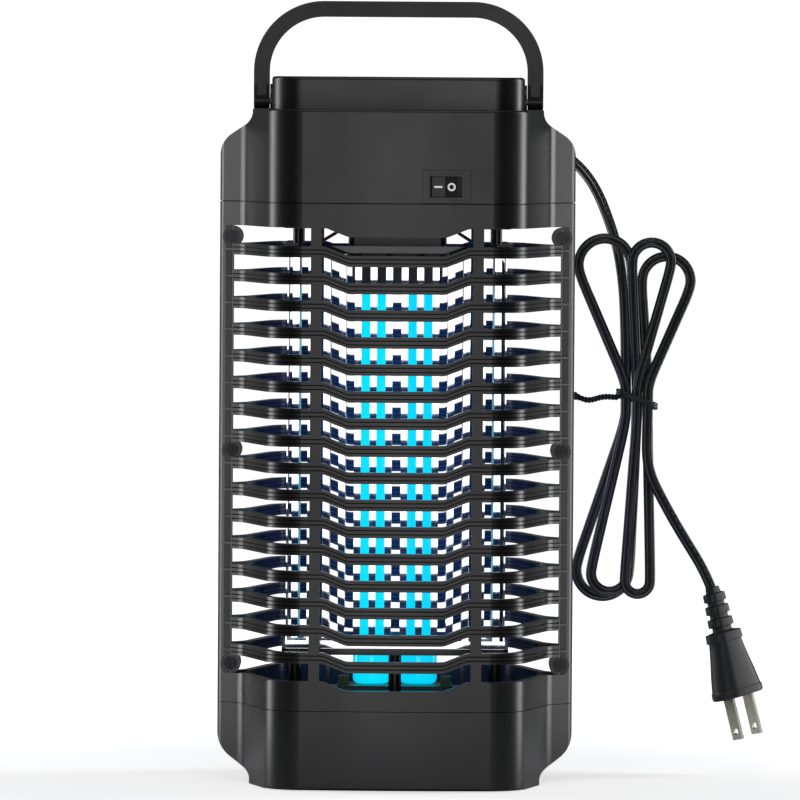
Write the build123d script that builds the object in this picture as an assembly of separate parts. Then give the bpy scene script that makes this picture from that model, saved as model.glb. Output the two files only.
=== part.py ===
"""Electric bug zapper: a ribbed tower with an ultraviolet lamp inside an electrode cage.

Millimetres. +Z is up, -Y is the front, and the origin is on the surface that it stands on,
under the middle of the housing.
"""
from build123d import *
from math import atan2, degrees, radians, sin, tan
import os

# Housing outline seen from above: (x, y, corner radius), one quarter from the front to the side
front_y = 70.0
quarter_outline = [(0, -front_y, 400), (57.3, -66.5, 18.3), (71.4, -16, 14), (83.5, -3.5, 6)]
half_width = 83.5
core_half_width = 68.0
core_side_y = -66.5 + (core_half_width - 57.3) * (66.5 - 16) / (71.4 - 57.3)
core_quarter = [(0, -front_y, 400), (57.3, -66.5, 18.3), (core_half_width, core_side_y, 6)]
wall = 2.2

# Heights
tray_top = 36.9
slot_low, slot_high = 50.6, 261.0
cover_seam = 272.6
shoulder_z = 315.7
cap_top = 331.0
cover_screw_places = [(-50, -42), (50, -42), (-50, 42), (50, 42)]
seam_depth, seam_height = 0.8, 0.4

# Ribbed guard
rib_count = 16
rib_top_z = 249.8
rib_pitch = 12.553
rib_height = 5.2
rib_fin = 0.8
guard_thick = 4.5
dip = 4.3
dip_outer, dip_inner, dip_radius = 33.6, 22.6, 7
mullion_x, mullion_width = 37.6, 5.0
pillar_x = 77.0
pillar_groove = (77.6, 80.6, -5.2)
boss_x, boss_radius = 77.3, 4.8
boss_heights = (255.7, 155.4, 55.0)

# Handle
pivot_z = 319.4
handle_outer, handle_bar = 68.0, 7.4
handle_top = 366.4
handle_radius = 33.0
handle_half_depth = 5.0
foot_radius = 3.6
pin_radius = 1.5
running_gap = 0.05
hub_radius, hub_face = 8.0, 60.3
cap_half_width, cap_half_depth, cap_radius = 59.3, 25.0, 14.0

# Switch
switch_x, switch_z = 22.3, 280.3
switch_width, switch_height = 16.6, 11.6
mouth_width, mouth_height = 15.0, 9.8
rocker_half, rocker_height = 6.7, 9.2
rocker_ends, rocker_middle = 4.0, 3.6
bezel_low_x, bezel_high_x, bezel_top = 11.5, 33.9, 288.1
switch_face_y = -70.3
rocker_y = switch_face_y + 4.0
rocker_tilt = -8.0
mark_x = 3.1

# Electrode cage and lamp
cage_half_x, cage_half_y = 51.0, 35.0
strip_pitch, strip_width, strip_thick = 7.25, 3.1, 0.6
cage_low, cage_high = 64.0, 252.0
rail_height = 3.6
rail_gap = 1.4
top_ring_thick = 1.8
rod_inset = 4.6
deck_z, deck_thick = 262.0, 2.5
floor_z = 40.0
tube_x, tube_radius = 11.0, 8.75
tube_low, tube_high = 45.5, 233.0
glass = 1.2
contact_x = (-16.5, -5.5, 5.5, 16.5)

# Circuit board on the deck, and the wires down past it
board_z, board_thick = 271.0, 1.6
board_posts = [(-34, -24), (34, -24), (-34, 24), (34, 24)]
wire_holes = (-28.0, 28.0)
wire_y = 7.25

# Lead: flat two-core flex, laid out as it hangs beside the housing
lead_width, lead_thick = 5.0, 2.7
gland_x, gland_z = 44.0, 304.0
gland_seat_y = 68.4
lead_route = [
    (44, 94, 304), (44, 102, 303.9), (48.1, 111.1, 303.4), (55.5, 117.8, 302.6), (65, 120.6, 300.8),
    (74.8, 119.2, 297.2), (83.6, 113.4, 291.8), (91, 104.4, 284.4), (96.6, 93.6, 275),
    (100.6, 83.2, 264.6), (103.6, 75.2, 255.4), (105.8, 68.6, 247),
]
plug_route = [
    (119.6, 58, 150), (121.6, 57.2, 141), (126.4, 56, 131.4), (132.4, 54.6, 120.6), (138.8, 53, 110),
    (145, 51.6, 100.2), (149.6, 50.6, 91), (152, 50, 84.6),
]
hank_y, hank_half_depth = 60.0, 8.0
hank_outline = [
    (106.4, 180, 6), (95.5, 206, 40), (85, 228, 14), (86.5, 250, 12), (103, 256.5, 18), (127, 255, 16),
    (141, 243, 12), (142, 224, 30), (123, 181, 8), (121.6, 170, 8), (122.4, 100, 12), (119, 81.5, 9),
    (104, 80, 8), (90, 80.5, 9), (83.8, 98, 20), (104, 150, 40), (106.6, 171, 8),
]
plug_turn, plug_tilt = 42.0, 14.0
plug_start = (152, 50, 84.6)


def vec(x, y):
    return Vector(x, y, 0)


def outline_face(points):
    """A flat face on XY from (x, y, corner radius) points, counterclockwise."""
    corners = []
    for i, (x, y, r) in enumerate(points):
        here = vec(x, y)
        back = (vec(*points[i - 1][:2]) - here).normalized()
        ahead = (vec(*points[(i + 1) % len(points)][:2]) - here).normalized()
        half = radians(back.get_angle(ahead)) / 2
        middle = (back + ahead).normalized()
        if r:
            reach = r / tan(half)
            bulge = here + middle * (r / sin(half) - r)
            corners.append((here + back * reach, bulge, here + ahead * reach))
        else:
            corners.append((here, None, here))
    edges = []
    for i, (start, bulge, end) in enumerate(corners):
        if bulge is not None:
            edges.append(ThreePointArc(start, bulge, end))
        after = corners[(i + 1) % len(corners)][0]
        if (after - end).length > 1e-4:
            edges.append(Line(end, after))
    return make_face(edges)


def full_outline(quarter):
    """All round, from one quarter given from the front middle to the side."""
    right_front = quarter
    right_rear = [(x, -y, r) for x, y, r in reversed(quarter)]
    left_rear = [(-x, -y, r) for x, y, r in quarter[1:]]
    left_front = [(-x, y, r) for x, y, r in reversed(quarter[1:])]
    return right_front + right_rear + left_rear + left_front


def shrunk(points, inset):
    """The outline moved inwards, with its corner radii adjusted."""
    moved = []
    count = len(points)
    for i, (x, y, r) in enumerate(points):
        here = vec(x, y)
        into = (here - vec(*points[i - 1][:2])).normalized()
        out = (vec(*points[(i + 1) % count][:2]) - here).normalized()
        turn = into.X * out.Y - into.Y * out.X
        inward = Vector(-into.Y - out.Y, into.X + out.X, 0).normalized()
        reach = inset / (inward.X * -into.Y + inward.Y * into.X)
        place = here + inward * reach
        radius = max(0.5, r - inset) if turn > 0 else r + inset
        moved.append((place.X, place.Y, radius))
    return moved


def prism(quarter, inset, low, high):
    points = full_outline(quarter)
    if inset:
        points = shrunk(points, inset)
    return extrude(Plane.XY.offset(low) * outline_face(points), amount=high - low)


def front_profile(points, near, far):
    """A face given as (x, z, corner radius), extruded from y = near to y = far."""
    face = Plane.XZ * outline_face(points)
    return Pos(0, near, 0) * extrude(face, amount=-(far - near))


def block(x0, x1, y0, y1, z0, z1):
    return Pos((x0 + x1) / 2, (y0 + y1) / 2, (z0 + z1) / 2) * Box(x1 - x0, y1 - y0, z1 - z0)


def rounded_block(width, depth, height, radius, place):
    face = RectangleRounded(width, depth, radius)
    return Pos(*place) * extrude(face, amount=height)


def rod_y(x, z, radius, y0, y1):
    return Pos(x, (y0 + y1) / 2, z) * Rot(90, 0, 0) * Cylinder(radius, y1 - y0)


def rod_x(y, z, radius, x0, x1):
    return Pos((x0 + x1) / 2, y, z) * Rot(0, 90, 0) * Cylinder(radius, x1 - x0)


def rod_z(x, y, radius, z0, z1):
    return Pos(x, y, (z0 + z1) / 2) * Cylinder(radius, z1 - z0)


def save(shape, name):
    export_step(shape, f"parts/{name}.step")


# Top cover ---------------------------------------------------------------------------------

def ear_top_profile(inset):
    """Front view of the ears' rounded tops."""
    side = half_width - inset
    core = core_half_width - inset
    right = [(side, cover_seam, 0), (side, 300.3 - 0.6 * inset, 11.8 - inset)]
    right += [(core, 310.7 - 0.6 * inset, 8 + inset), (core, shoulder_z - inset, 0)]
    left = [(-x, z, r) for x, z, r in reversed(right)]
    return right + left


def top_cover():
    core = prism(core_quarter, 0, cover_seam, shoulder_z)
    core = fillet(core.edges().group_by(Axis.Z)[-1], 1.2)
    ears = prism(quarter_outline, 0, cover_seam, shoulder_z) & front_profile(ear_top_profile(0), -80, 80)
    cap_face = RectangleRounded(2 * cap_half_width, 2 * cap_half_depth, cap_radius)
    cap = extrude(Plane.XY.offset(shoulder_z - 5) * cap_face, amount=cap_top - shoulder_z + 5)
    cap = fillet(cap.edges().group_by(Axis.Z)[-1], 1.6)
    shell = core + (ears - block(-60, 60, -80, 80, cover_seam, shoulder_z)) + cap
    hollow = prism(core_quarter, wall, cover_seam, shoulder_z - wall)
    ear_hollow = prism(quarter_outline, wall, cover_seam, 293)
    cap_hollow_face = RectangleRounded(2 * (cap_half_width - wall), 2 * (cap_half_depth - wall),
                                       cap_radius - wall)
    cap_hollow = extrude(Plane.XY.offset(shoulder_z - 6) * cap_hollow_face,
                         amount=cap_top - shoulder_z + 6 - wall)
    shell = shell - hollow - ear_hollow - cap_hollow
    for x, y in cover_screw_places:
        post = rod_z(x, y, 4, cover_seam + 0.2, shoulder_z - 1)
        shell = shell + post - rod_z(x, y, 1.35, cover_seam, cover_seam + 16)
    for side in (-1, 1):
        wall_x = side * (cap_half_width - 1)
        inner_hub = rod_x(0, pivot_z, 4, *sorted((side * (cap_half_width - 9), wall_x)))
        outer_hub = rod_x(0, pivot_z, hub_radius, *sorted((wall_x, side * hub_face)))
        shell = shell + inner_hub + outer_hub
        shell = shell - rod_x(0, pivot_z, pin_radius, *sorted((side * 51, side * 62)))
    shell = shell - block(bezel_low_x, bezel_high_x, -80, -60, cover_seam - 1, bezel_top)
    shell = shell + rod_y(gland_x, gland_z, 7.4, gland_seat_y - 5, gland_seat_y)
    return shell - rod_y(gland_x, gland_z, 4.5, 60, 80)


def handle_pins():
    return Compound([rod_x(0, pivot_z, pin_radius, *sorted((side * 52, side * (handle_outer - 2))))
                     for side in (-1, 1)])


def gland():
    flange = rod_y(gland_x, gland_z, 6.2, gland_seat_y, gland_seat_y + 2)
    neck = rod_y(gland_x, gland_z, 4.4, gland_seat_y - 5, gland_seat_y)
    lock = rod_y(gland_x, gland_z, 5.4, gland_seat_y - 7, gland_seat_y - 5)
    root = Pos(gland_x, gland_seat_y + 1.5, gland_z) * (Plane.XZ * Circle(4.4))
    tip = Pos(gland_x, lead_route[0][1], gland_z) * (Plane.XZ * Circle(3.1))
    return flange + neck + lock + loft([root, tip])


# Ribbed guard ------------------------------------------------------------------------------

def rib_z(index):
    return rib_top_z - index * rib_pitch


def centre_slot(low, high):
    """The gap between two ribs in the middle panel: it drops by the dip in its centre."""
    edge = mullion_x - mullion_width / 2
    lower = [(dip_inner, low - dip, dip_radius), (dip_outer, low, dip_radius), (edge, low, 0)]
    upper = [(edge, high, 0), (dip_outer, high, dip_radius), (dip_inner, high - dip, dip_radius)]
    left = [(-x, z, r) for x, z, r in reversed(lower + upper)]
    return lower + upper + left


def slot_spans():
    tops = [slot_high] + [rib_z(i) - rib_height / 2 for i in range(rib_count)]
    bottoms = [rib_z(i) + rib_height / 2 for i in range(rib_count)] + [slot_low]
    return list(zip(bottoms, tops))


def guard_half():
    ring = prism(quarter_outline, 0, tray_top, cover_seam) - prism(
        quarter_outline, guard_thick, tray_top, cover_seam)
    pillars = prism(quarter_outline, 0.2, slot_low - 5, deck_z - 0.3) & (
        block(pillar_x, 90, -20, 20, 0, 400) + block(-90, -pillar_x, -20, 20, 0, 400))
    body = (ring + pillars) & block(-100, 100, -100, 0, 0, 400)
    inner_edge = mullion_x + mullion_width / 2
    gaps = []
    for low, high in slot_spans():
        gaps.append(front_profile(centre_slot(low, high), -90, -10))
        for side in (-1, 1):
            x0, x1 = sorted((side * inner_edge, side * pillar_x))
            gaps.append(block(x0, x1, -90, 0.1, low, high))
    body = body - gaps
    groove_x0, groove_x1, groove_y = pillar_groove
    fins = [slot_high] + [rib_z(i) for i in range(rib_count)] + [slot_low]
    grooves = []
    for upper, lower in zip(fins, fins[1:]):
        top = upper - (0 if upper == slot_high else rib_fin / 2)
        bottom = lower + (0 if lower == slot_low else rib_fin / 2)
        for side in (-1, 1):
            x0, x1 = sorted((side * groove_x0, side * groove_x1))
            grooves.append(block(x0, x1, -30, groove_y, bottom, top))
    skin = prism(quarter_outline, 0, slot_low - 6, slot_high) - prism(
        quarter_outline, 0.55, slot_low - 6, slot_high)
    lines = []
    for i in range(rib_count):
        for offset in (-0.95, 0.95):
            lines.append(front_profile(rib_line(rib_z(i) + offset, 0.5), -90, 0))
    body = body - (skin & (Part() + lines))
    for z in boss_heights:
        for side in (-1, 1):
            body = body + rod_y(side * boss_x, z, boss_radius, -8.6, 0)
    around = block(-90, 90, -90, 90, cover_seam - seam_height, cover_seam + 1)
    seam = around - prism(quarter_outline, seam_depth, cover_seam - seam_height, cover_seam + 1)
    return body - grooves - seam


def rib_line(middle, height):
    """A thin band that follows a rib across the front."""
    low, high = middle - height / 2, middle + height / 2
    lower = [(dip_inner, low - dip, dip_radius), (dip_outer, low, dip_radius), (pillar_x, low, 0)]
    upper = [(pillar_x, high, 0), (dip_outer, high, dip_radius), (dip_inner, high - dip, dip_radius)]
    left = [(-x, z, r) for x, z, r in reversed(lower + upper)]
    return lower + upper + left


def front_grille(half):
    for z in boss_heights:
        for side in (-1, 1):
            half = half - rod_y(side * boss_x, z, 1.7, -20, 1)
            half = half - rod_y(side * boss_x, z, 3.1, -20, -6)
    return half


def rear_grille(half):
    rear = mirror(half, about=Plane.XZ)
    for z in boss_heights:
        for side in (-1, 1):
            rear = rear - rod_y(side * boss_x, z, 1.3, -1, 6)
    return rear


def grille_screws():
    screws = []
    for z in boss_heights:
        for side in (-1, 1):
            head = rod_y(side * boss_x, z, 2.95, -8.2, -6)
            shank = rod_y(side * boss_x, z, 1.25, -6.5, 5.5)
            slot = block(-2, 2, -9, -7.4, -0.3, 0.3)
            cross = Pos(side * boss_x, 0, z) * (slot + Rot(0, 90, 0) * slot)
            screws.append(head + shank - cross)
    return Compound(screws)


# Collection tray ---------------------------------------------------------------------------

def ear_bottom_profile(inset):
    side = half_width - inset
    core = core_half_width - inset
    right = [(core, 0, 0), (core, 4.9, 5), (side, 15.4, 13.8), (side, tray_top, 0)]
    left = [(-x, z, r) for x, z, r in reversed(right)]
    return right + left


def collection_tray():
    seam = 0.3
    core = prism(core_quarter, 0, 0, tray_top - seam)
    core = fillet(core.edges().group_by(Axis.Z)[0], 1.2)
    ears = prism(quarter_outline, 0, 0, tray_top - seam) & front_profile(ear_bottom_profile(0), -80, 80)
    shell = core + (ears - block(-60, 60, -80, 80, 0, tray_top))
    hollow = prism(core_quarter, wall, 2.5, tray_top)
    ear_hollow = prism(quarter_outline, wall, 23, tray_top)
    lip = prism(quarter_outline, guard_thick + 0.4, tray_top - 4, tray_top + 3) - prism(
        quarter_outline, guard_thick + 1.8, tray_top - 4, tray_top + 3)
    ledge = prism(quarter_outline, wall - 0.2, tray_top - 4, tray_top - 2.5) - prism(
        quarter_outline, guard_thick + 1.8, tray_top - 4, tray_top - 2.5)
    return shell - hollow - ear_hollow + lip + ledge


# Decks, cage and lamp ----------------------------------------------------------------------

def partition_plate():
    plate = prism(quarter_outline, guard_thick, deck_z, deck_z + deck_thick)
    for x, y in cover_screw_places:
        plate = plate + rod_z(x, y, 4, deck_z + 1, cover_seam)
        plate = plate - rod_z(x, y, 1.7, deck_z - 1, cover_seam + 1)
        plate = plate - rod_z(x, y, 3.2, deck_z - 1, deck_z + 1.6)
    for x, y in board_posts:
        plate = plate + rod_z(x, y, 3, deck_z + 1, board_z) - rod_z(x, y, 1.0, deck_z + 2, board_z + 1)
    for x in wire_holes:
        plate = plate - rod_z(x, wire_y, 2.2, deck_z - 1, deck_z + 4)
    for x in contact_x:
        plate = plate - rod_z(x, 0, 1.3, deck_z - 1, deck_z + 4)
    return plate


def cover_screws():
    screws = []
    for x, y in cover_screw_places:
        screws.append(rod_z(x, y, 3.0, deck_z, deck_z + 1.5) + rod_z(x, y, 1.3, deck_z + 1, cover_seam + 15))
    return Compound(screws)


def chamber_floor():
    """Open frame under the cage: insects fall past it into the tray."""
    rim = prism(quarter_outline, guard_thick, floor_z + 1, floor_z + 3.5) - prism(
        core_quarter, guard_thick + 4, floor_z + 1, floor_z + 3.5)
    pad = block(-34, 34, -20, 20, floor_z + 1, floor_z + 3.5)
    bars = block(-70, 70, -4, 4, floor_z + 1, floor_z + 3.5)
    bars = bars + block(-4, 4, -62, 62, floor_z + 1, floor_z + 3.5)
    walls = block(-32.2, -30.8, -18, 18, floor_z + 3, 53)
    walls = walls + block(30.8, 32.2, -18, 18, floor_z + 3, 53)
    frame = rim + pad + bars + walls
    for x in (-cage_half_x + 4, cage_half_x - 4):
        frame = frame + rod_z(x, 0, 3, floor_z + 2, cage_low - 3)
    for y in (-cage_half_y + 6, cage_half_y - 6):
        frame = frame + rod_z(0, y, 3, floor_z + 2, cage_low - 3)
    return frame


def cage_ring(half_x, half_y, thick, low, high):
    outer = rounded_block(2 * half_x, 2 * half_y, high - low, 3, (0, 0, low))
    inner = rounded_block(2 * (half_x - thick), 2 * (half_y - thick), high - low, 2, (0, 0, low))
    return outer - inner


def cage_top_holder():
    """A thin ring under the deck, with a post and a bracket over each corner of the cage."""
    holder = cage_ring(cage_half_x + 2, cage_half_y + 2, 8, deck_z - top_ring_thick, deck_z)
    for x, y in cage_rod_places():
        edge_x = (cage_half_x + 1) * (1 if x > 0 else -1)
        edge_y = (cage_half_y + 1) * (1 if y > 0 else -1)
        holder = holder + rod_z(x, y, 2.4, cage_high, deck_z - 1)
        holder = holder + block(*sorted((x, edge_x)), *sorted((y, edge_y)), cage_high, cage_high + 1.2)
    return holder - cage_rod_holes(cage_high - 1, deck_z + 1)


def cage_bottom_holder():
    ring = cage_ring(cage_half_x + 2, cage_half_y + 2, 8, cage_low - 3, cage_low)
    return ring - cage_rod_holes(cage_low - 4, cage_low + 1)


def cage_rod_places():
    x, y = cage_half_x - rod_inset, cage_half_y - rod_inset
    return [(-x, -y), (x, -y), (-x, y), (x, y)]


def cage_rod_holes(low, high):
    return [rod_z(x, y, 1.2, low, high) for x, y in cage_rod_places()]


def cage_rods():
    rods = []
    for x, y in cage_rod_places():
        nut = Pos(x, y, cage_low - 5.5) * extrude(RegularPolygon(2.6, 6), amount=2.5)
        rods.append(rod_z(x, y, 1.2, cage_low - 5.5, deck_z) + nut)
    return Compound(rods)


def strip_places(half_count):
    return [(i + 0.5) * strip_pitch for i in range(-half_count, half_count)]


def cage_side(side, turns_back, first, rail_low, rail_high, low, high):
    """One flat side of the cage: every second strip, with the rail that joins them."""
    half_t, half_w = strip_thick / 2, strip_width / 2
    across_front = side in ("front", "rear")
    sign = -1 if side in ("front", "left") else 1
    places = strip_places(7 if across_front else 4)
    if turns_back:
        places.reverse()
    if across_front:
        at = sign * cage_half_y
        made = block(-cage_half_x - half_t, cage_half_x + half_t, at - half_t, at + half_t,
                     rail_low, rail_high)
        for x in places[first::2]:
            made = made + block(x - half_w, x + half_w, at - half_t, at + half_t, low, high)
        return made
    at = sign * cage_half_x
    made = block(at - half_t, at + half_t, -cage_half_y + half_t, cage_half_y - half_t,
                 rail_low, rail_high)
    for y in places[first::2]:
        made = made + block(at - half_t, at + half_t, y - half_w, y + half_w, low, high)
    return made


def cage_strips():
    """Live strips hang from the upper rail and return strips stand on the lower one, turn about."""
    made = {}
    for side, turns_back in (("front", False), ("right", False), ("rear", True), ("left", True)):
        made["live_" + side] = cage_side(side, turns_back, 0, cage_high - rail_height, cage_high,
                                         cage_low + rail_height + rail_gap, cage_high - 1)
        made["return_" + side] = cage_side(side, turns_back, 1, cage_low, cage_low + rail_height,
                                           cage_low + 1, cage_high - rail_height - rail_gap)
    return made


def lamp_holder():
    shell = rounded_block(46, 26, 18, 3, (0, 0, deck_z - 18))
    socket = rounded_block(43, 23, 14, 2, (0, 0, deck_z - 19))
    contacts = [rod_z(x, 0, 2.0, deck_z - 6, deck_z - 2) for x in contact_x]
    return shell - socket - contacts


def lamp_base():
    body = rounded_block(42.4, 22.4, 26, 3, (0, 0, tube_high - 2))
    pockets = [rod_z(side * tube_x, 0, tube_radius, tube_high - 3, tube_high) for side in (-1, 1)]
    return body - pockets


def lamp_pins():
    return Compound([rod_z(x, 0, 1.2, tube_high + 24, deck_z - 2.4) for x in contact_x])


def lamp_tubes():
    tubes = []
    for side in (-1, 1):
        tube = rod_z(side * tube_x, 0, tube_radius, tube_low, tube_high)
        tubes.append(fillet(tube.edges().group_by(Axis.Z)[0], 2.5))
    inside = [rod_z(side * tube_x, 0, tube_radius - glass, tube_low + 4, tube_high - glass)
              for side in (-1, 1)]
    return tubes[0] + tubes[1] + rod_x(0, tube_low + 11, 3.6, -tube_x, tube_x) - inside


def lamp_foot_board():
    board = rounded_block(54, 30, 1.6, 1.5, (0, 0, floor_z + 3.5))
    terminals = [block(x - 2.5, x + 2.5, -6, 6, floor_z + 5, floor_z + 9) for x in (-24, 24)]
    return board + terminals


# Electronics -------------------------------------------------------------------------------

def circuit_board():
    board = rounded_block(80, 58, board_thick, 2, (0, 0, board_z))
    for x, y in board_posts:
        board = board - rod_z(x, y, 1.5, board_z - 1, board_z + 3)
    for x in wire_holes:
        board = board - rod_z(x, wire_y, 2.2, board_z - 1, board_z + 3)
    return board


def board_screws():
    top = board_z + board_thick
    return Compound([rod_z(x, y, 2.6, top, top + 1.8) + rod_z(x, y, 0.95, top - 6, top + 1)
                     for x, y in board_posts])


def on_board(shape, x, y):
    return Pos(x, y, board_z + board_thick) * shape


def transformer():
    core = Pos(0, 0, 10) * Box(24, 20, 20) - Pos(0, 0, 10) * Box(16, 22, 12)
    limb = Pos(0, 0, 10) * Box(6, 20, 12)
    winding = Pos(0, 0, 10) * Rot(90, 0, 0) * Cylinder(5.8, 17)
    return on_board(core + limb + winding, -8, 12)


def capacitors():
    made = []
    for i in range(3):
        can = Pos(0, 0, 8) * Cylinder(5, 16)
        can = fillet(can.edges().group_by(Axis.Z)[-1], 1)
        made.append(on_board(can, 14, -16 + 13 * i))
    made.append(on_board(Pos(0, 0, 6) * Box(18, 6, 12), -24, -4))
    return Compound(made)


def lying_part(length, radius, x, y, body_length):
    """A component lying on its two bent legs."""
    body = Pos(0, 0, radius + 0.6) * Rot(0, 90, 0) * Cylinder(radius, body_length)
    legs = [Pos(side * length / 2, 0, (radius + 1.2) / 2) * Cylinder(0.4, radius + 1.2)
            for side in (-1, 1)]
    bridge = Pos(0, 0, radius + 0.6) * Rot(0, 90, 0) * Cylinder(0.4, length)
    return on_board(body + legs + bridge, x, y)


def diodes():
    return Compound([lying_part(12, 1.4, -20, -24 + 5 * i, 6) for i in range(3)])


def resistors():
    return Compound([lying_part(12, 1.2, 0, -25 + 4.4 * i, 6.6) for i in range(4)])


def fuse():
    return lying_part(22, 2.6, -8, 25.8, 18)


# Switch ------------------------------------------------------------------------------------

def switch_bezel():
    panel = prism(quarter_outline, 0.35, cover_seam + 0.1, bezel_top - 0.15) - prism(
        quarter_outline, wall + 0.4, cover_seam, bezel_top)
    panel = panel & block(bezel_low_x + 0.15, bezel_high_x - 0.15, -80, -60, 0, 400)
    half_w, half_h = mouth_width / 2 + 0.5, mouth_height / 2 + 0.5
    return panel - block(switch_x - half_w, switch_x + half_w, -80, -60,
                         switch_z - half_h, switch_z + half_h)


def switch_body():
    flange = rounded_block(switch_width, switch_height, 1.4, 0.8, (0, 0, 0))
    flange = Pos(switch_x, switch_face_y + 1.4, switch_z) * Rot(90, 0, 0) * flange
    half_w, half_h = mouth_width / 2, mouth_height / 2
    back = block(switch_x - half_w - 0.4, switch_x + half_w + 0.4, switch_face_y + 1.4, switch_face_y + 15,
                 switch_z - half_h - 0.4, switch_z + half_h + 0.4)
    mouth = block(switch_x - half_w, switch_x + half_w, -80, switch_face_y + 11,
                  switch_z - half_h, switch_z + half_h)
    return flange + back - mouth


def rocker_shape():
    """The rocker in its level place, pivoting about the vertical line through x = 0, y = 0."""
    outer = [(-rocker_half, -rocker_ends, 0.5), (0, -rocker_middle, 0), (rocker_half, -rocker_ends, 0.5),
             (5.4, 1.5, 1), (-5.4, 1.5, 1)]
    return Pos(0, 0, -rocker_height / 2) * extrude(outline_face(outer), amount=rocker_height)


def placed_rocker(shape):
    return Pos(switch_x, rocker_y, switch_z) * Rot(0, 0, rocker_tilt) * shape


def switch_rocker():
    return placed_rocker(rocker_shape())


def switch_marks():
    rise = (rocker_ends - rocker_middle) / rocker_half
    slope = degrees(atan2(rise, 1))
    dash = Box(3.7, 0.2, 0.85)
    ring = Rot(90, 0, 0) * (Cylinder(1.9, 0.2) - Cylinder(1.08, 0.2))
    mark_y = -rocker_middle - rise * mark_x - 0.1
    left = Pos(-mark_x, mark_y, 0) * Rot(0, 0, slope) * dash
    right = Pos(mark_x, mark_y, 0) * Rot(0, 0, -slope) * ring
    return Compound([placed_rocker(left), placed_rocker(right)])


def switch_terminals():
    return Compound([block(x - 0.4, x + 0.4, switch_face_y + 15, switch_face_y + 23,
                           switch_z - 2.4, switch_z + 2.4) for x in (switch_x - 3.5, switch_x + 3.5)])


# Handle ------------------------------------------------------------------------------------

def bail(outer, top, radius, low):
    points = [(-outer, low, 0), (outer, low, 0), (outer, top, radius), (-outer, top, radius)]
    return outline_face(points)


def handle_band(inset):
    """Front view of the bail, narrower by the inset on every edge."""
    inner = handle_outer - handle_bar
    outside = bail(handle_outer - inset, handle_top - inset, handle_radius - inset,
                   pivot_z - foot_radius + inset)
    inside = bail(inner + inset, handle_top - handle_bar + inset, handle_radius - handle_bar + inset,
                  pivot_z - 10)
    return Plane.XZ * (outside - inside)


def carry_handle():
    solid = extrude(handle_band(0), amount=handle_half_depth, both=True)
    end = pivot_z - foot_radius
    taper = [(-3.3, pivot_z, 0), (3.3, pivot_z, 0), (5, pivot_z + 8, 0), (5, 380, 0), (-5, 380, 0),
             (-5, pivot_z + 8, 0)]
    side_view = extrude(Plane.YZ * outline_face(taper), amount=80, both=True)
    side_view = side_view + rod_x(0, pivot_z, foot_radius, -80, 80)
    solid = solid & side_view
    rims = extrude(Pos(0, -handle_half_depth + 1.6, 0) * handle_band(1.5), amount=8)
    recess = rims
    for x in (-33, -11, 11, 33):
        recess = recess - block(x - 0.7, x + 0.7, -20, 20, handle_top - 10, handle_top)
    for side in (-1, 1):
        corner = Pos(side * (handle_outer - handle_radius), 0, handle_top - handle_radius)
        recess = recess - corner * Rot(0, side * 45, 0) * block(-0.7, 0.7, -20, 20, 15, 45)
        recess = recess - block(*sorted((side * 59, side * 69)), -20, 20, 331.4, 332.8)
    recess = recess - block(-80, 80, -20, 20, end, pivot_z - 1.8)
    rear = mirror(recess, about=Plane.XZ)
    solid = solid - recess - rear
    for side in (-1, 1):
        x = side * (handle_outer - handle_bar / 2)
        solid = solid + (block(x - 3.6, x + 3.6, -20, 20, pivot_z - 10, pivot_z + 2.6) & side_view
                         & extrude(handle_band(0), amount=10, both=True))
        solid = solid - block(x - 1.65, x + 1.65, -20, -2.0, pivot_z - 1.65, pivot_z + 1.65)
        hole = sorted((side * 59, side * (handle_outer - 1.9)))
        solid = solid - rod_x(0, pivot_z, pin_radius + running_gap, *hole)
    return solid


# Wires -------------------------------------------------------------------------------------

def wire(points, radii, radius):
    path = FilletPolyline(*points, radius=radii)
    section = Plane(origin=path @ 0, z_dir=path % 0) * Circle(radius)
    return sweep(section, path=path)


def live_wire():
    rail_z = cage_high - 2.4
    return wire([(-28, wire_y, board_z), (-28, wire_y, deck_z - 4), (-42, wire_y, rail_z),
                 (-50.6, wire_y, rail_z)], [3, 3], 0.8)


def return_wire():
    along = cage_half_x - strip_thick / 2 - 0.85
    return wire([(28, wire_y, board_z), (28, wire_y, deck_z - 4), (along, wire_y, cage_high - 8),
                 (along, wire_y, cage_low + 1.5)], [3, 3], 0.8)


def lamp_wires():
    return Compound([rod_z(x, 0, 0.8, deck_z, board_z) for x in contact_x])


def mains_wires():
    start, reach = gland_seat_y - 7, switch_face_y + 23
    supply = wire([(gland_x - 1, start, gland_z), (36, 44, 298), (31, -26, 297),
                   (switch_x + 3.5, reach, switch_z)], [10, 8], 0.9)
    neutral = wire([(gland_x - 3.5, start, gland_z), (30, 46, 296), (26, 10, 290),
                    (26, 10, board_z + board_thick)], [10, 3], 0.9)
    switched = wire([(switch_x - 3.5, reach, switch_z), (17, -38, switch_z), (12, -27.5, 277),
                     (12, -27.5, board_z + board_thick)], [4, 2], 0.9)
    return Compound([supply, neutral, switched])


# Lead --------------------------------------------------------------------------------------

def lead_radii(points):
    """Each arc as large as its two runs allow."""
    radii = []
    for a, b, c in zip(points, points[1:], points[2:]):
        before, after = Vector(b) - Vector(a), Vector(c) - Vector(b)
        half_turn = radians(before.get_angle(after)) / 2
        radii.append(0.45 * min(before.length, after.length) / tan(half_turn))
    return radii


def lead_tube(points, name):
    radii = lead_radii(points)
    path = FilletPolyline(*points, radius=radii)
    section = Plane(origin=path @ 0, z_dir=path % 0) * Circle(lead_thick / 2 + 0.4)
    tube = sweep(section, path=path)
    expected = section.area * path.length
    print(name, "radii", [round(r, 1) for r in radii], "length", round(path.length, 1),
          "volume over expected", round(tube.volume / expected, 4))
    return tube


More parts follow.
